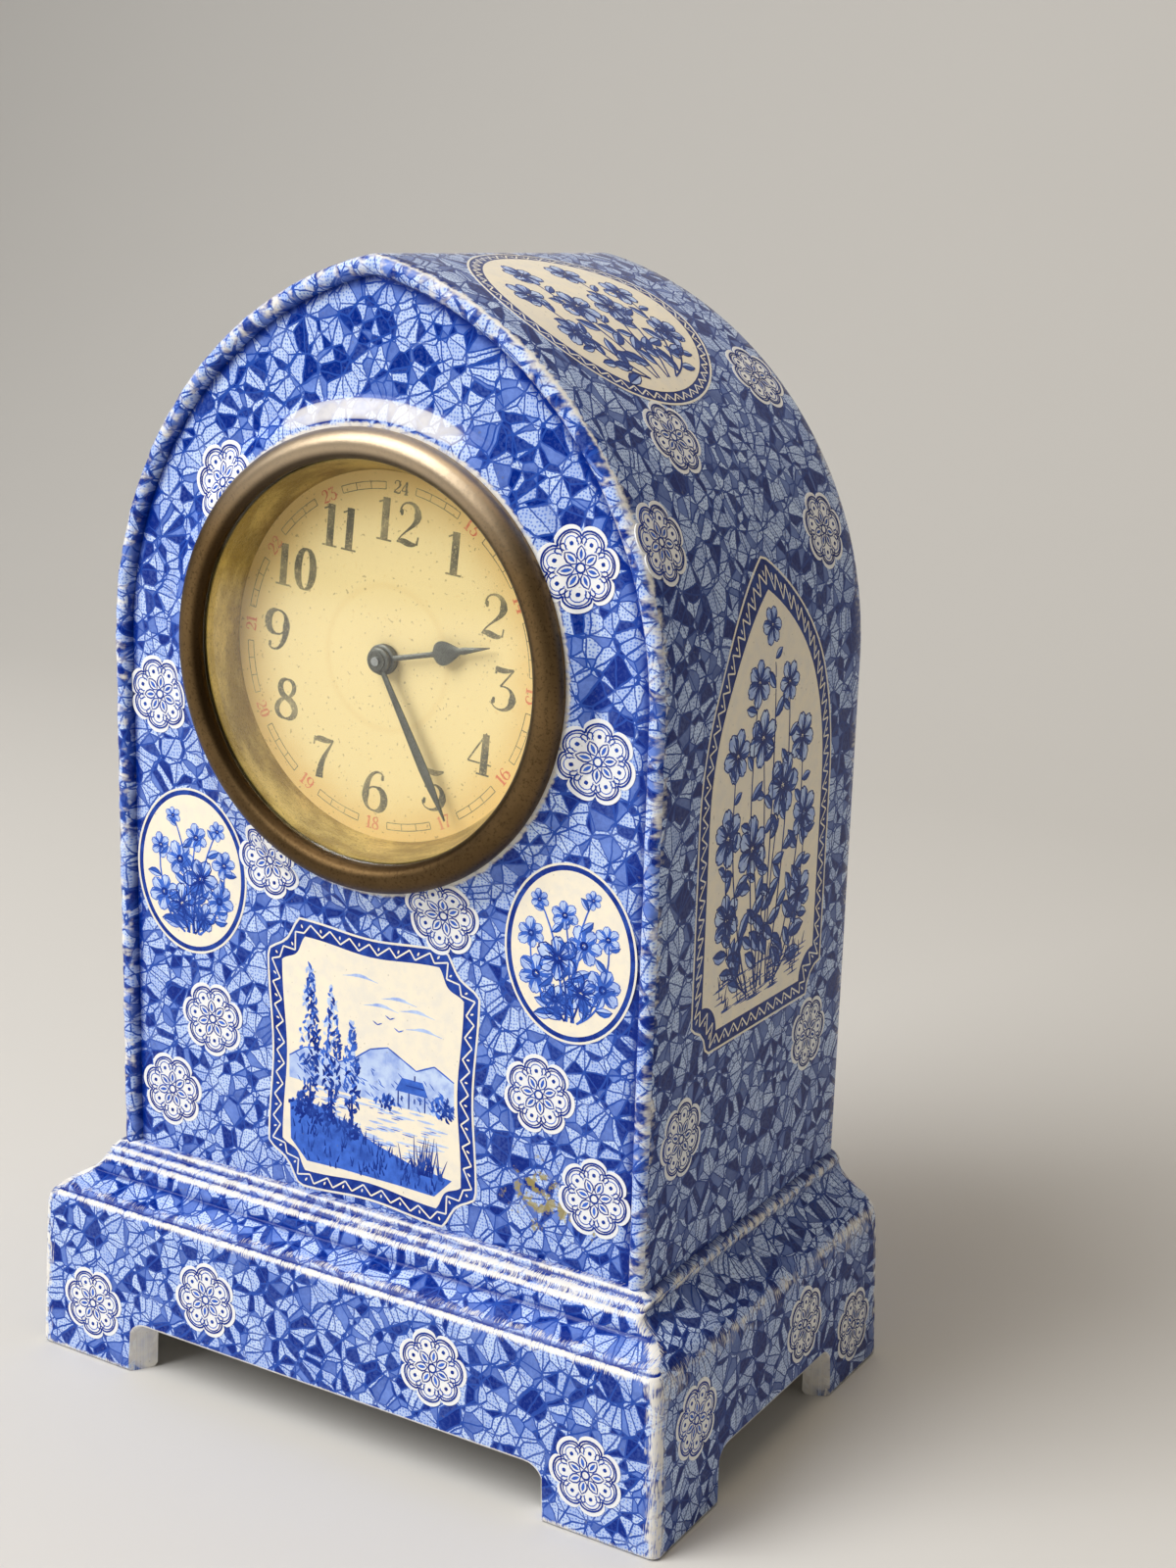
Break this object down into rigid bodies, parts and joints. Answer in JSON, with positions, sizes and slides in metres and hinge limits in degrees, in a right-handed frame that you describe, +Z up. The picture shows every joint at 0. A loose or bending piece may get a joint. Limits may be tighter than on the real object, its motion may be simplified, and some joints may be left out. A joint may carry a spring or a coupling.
{
  "type": "beehive shelf clock",
  "caption": "Shelf clock in a lancet-arched glazed earthenware case on a bracket-footed plinth, with a round brass bezel, paper dial, spade hands and a key-wound balance movement.",
  "frame": {"origin": "centre of the footprint on the surface the feet stand on", "axes": "+Z up, the dial faces -Y, +X to the right as seen from the front"},
  "size_m": [0.179, 0.115, 0.272],
  "materials": {
    "glazed_earthenware": "glossy underglaze blue print on an ivory body",
    "aged_brass": "aged, brushed",
    "clear_glass": "polished",
    "dial_paper": "aged cream, matt",
    "dull_steel": "dull blued",
    "movement_brass": "satin",
    "movement_steel": "satin",
    "spring_steel": "blued",
    "tinplate": "dull tinned"
  },
  "bodies": {
    "case": {"ceramic_case": "glazed_earthenware", "bezel": "aged_brass", "dial_glass": "clear_glass", "sight_ring": "aged_brass", "paper_dial": "dial_paper", "dial_plate": "tinplate", "dial_feet": "movement_steel", "minute_stud": "movement_steel", "front_plate": "movement_brass", "back_plate": "movement_brass", "plate_pillars": "movement_steel", "pillar_nuts": "movement_steel", "back_posts": "movement_steel", "mainspring": "spring_steel", "hairspring": "spring_steel", "hairspring_stud": "movement_steel", "balance_pivot_screws": "movement_steel", "movement_drum": "tinplate", "drum_lugs": "movement_steel", "back_cover": "tinplate", "cover_screws": "movement_steel", "rear_ring": "aged_brass", "fixing_bolts": "movement_steel"},
    "hands_arbor": {"centre_arbor": "movement_steel", "cannon_pinion": "movement_brass", "minute_hand": "dull_steel", "hand_washer": "movement_brass", "setting_knob": "movement_brass", "clutch_spring": "movement_brass"},
    "hour_hand_and_wheel": {"hour_wheel": "movement_brass", "hour_hand": "dull_steel"},
    "minute_work": {"minute_wheel": "movement_brass", "minute_pinion": "movement_steel"},
    "third_wheel_set": {"third_arbor": "movement_steel", "third_wheel": "movement_brass"},
    "great_wheel_set": {"great_wheel": "movement_brass", "click_screw": "movement_steel", "click_spring": "movement_steel"},
    "ratchet_click": {"click": "movement_steel"},
    "winding_set": {"winding_arbor": "movement_steel", "ratchet_wheel": "movement_steel", "winding_key": "movement_steel"},
    "centre_wheel_set": {"centre_wheel": "movement_brass", "centre_pinion": "movement_steel"},
    "fourth_wheel_set": {"fourth_arbor": "movement_steel", "fourth_wheel": "movement_brass"},
    "escape_wheel_set": {"escape_arbor": "movement_steel", "escape_wheel": "movement_brass"},
    "lever": {"pallet_lever": "movement_steel", "pallet_arbor": "movement_steel"},
    "balance": {"balance_staff": "movement_steel", "balance_wheel": "movement_brass"},
    "regulator": {"regulator_lever": "movement_brass"}
  },
  "joints": [
    {"name": "hands_turn", "type": "hinge", "parent": "case", "child": "hands_arbor", "pos_m": [0, 0, 0.1835], "axis": [0, 1, 0], "continuous": true},
    {"name": "hour_turn", "type": "hinge", "parent": "case", "child": "hour_hand_and_wheel", "pos_m": [0, 0, 0.1835], "axis": [0, 1, 0], "continuous": true},
    {"name": "minute_work_turn", "type": "hinge", "parent": "case", "child": "minute_work", "pos_m": [-0.0104, 0, 0.1895], "axis": [0, 1, 0], "continuous": true},
    {"name": "train_turn", "type": "hinge", "parent": "case", "child": "third_wheel_set", "pos_m": [0.0156, 0, 0.1745], "axis": [0, 1, 0], "continuous": true},
    {"name": "great_turn", "type": "hinge", "parent": "case", "child": "great_wheel_set", "pos_m": [-0.015, 0, 0.1688], "axis": [0, 1, 0], "continuous": true},
    {"name": "click_lift", "type": "hinge", "parent": "great_wheel_set", "child": "ratchet_click", "pos_m": [-0.0236, 0, 0.1614], "axis": [0, 1, 0], "range_deg": [-8, 0], "stiffness_Nm_per_rad": 0.0001, "springref_deg": 14.32},
    {"name": "winding_turn", "type": "hinge", "parent": "case", "child": "winding_set", "pos_m": [-0.015, 0, 0.1688], "axis": [0, 1, 0], "continuous": true},
    {"name": "centre_turn", "type": "hinge", "parent": "case", "child": "centre_wheel_set", "pos_m": [0, 0, 0.1835], "axis": [0, 1, 0], "continuous": true},
    {"name": "fourth_turn", "type": "hinge", "parent": "case", "child": "fourth_wheel_set", "pos_m": [0.02325, 0, 0.18775], "axis": [0, 1, 0], "continuous": true},
    {"name": "escape_turn", "type": "hinge", "parent": "case", "child": "escape_wheel_set", "pos_m": [0.01605, 0, 0.2002], "axis": [0, 1, 0], "continuous": true},
    {"name": "lever_rock", "type": "hinge", "parent": "case", "child": "lever", "pos_m": [0.0086, 0, 0.2076], "axis": [0, 1, 0], "range_deg": [-3.5, 3.5]},
    {"name": "balance_swing", "type": "hinge", "parent": "case", "child": "balance", "pos_m": [-0.0065, 0, 0.2085], "axis": [0, 1, 0], "range_deg": [-150, 150], "stiffness_Nm_per_rad": 0.000013, "deforming": ["hairspring"]},
    {"name": "regulator_turn", "type": "hinge", "parent": "case", "child": "regulator", "pos_m": [-0.0065, 0, 0.2085], "axis": [0, 1, 0], "range_deg": [-20, 20]}
  ],
  "couplings": [
    {"joint": "hour_turn", "follows": "hands_turn", "ratio": 0.083333},
    {"joint": "minute_work_turn", "follows": "hands_turn", "ratio": -0.33333},
    {"joint": "great_turn", "follows": "train_turn", "ratio": 0.020833},
    {"joint": "centre_turn", "follows": "train_turn", "ratio": -0.125},
    {"joint": "fourth_turn", "follows": "train_turn", "ratio": -7.5},
    {"joint": "escape_turn", "follows": "train_turn", "ratio": 60}
  ]
}
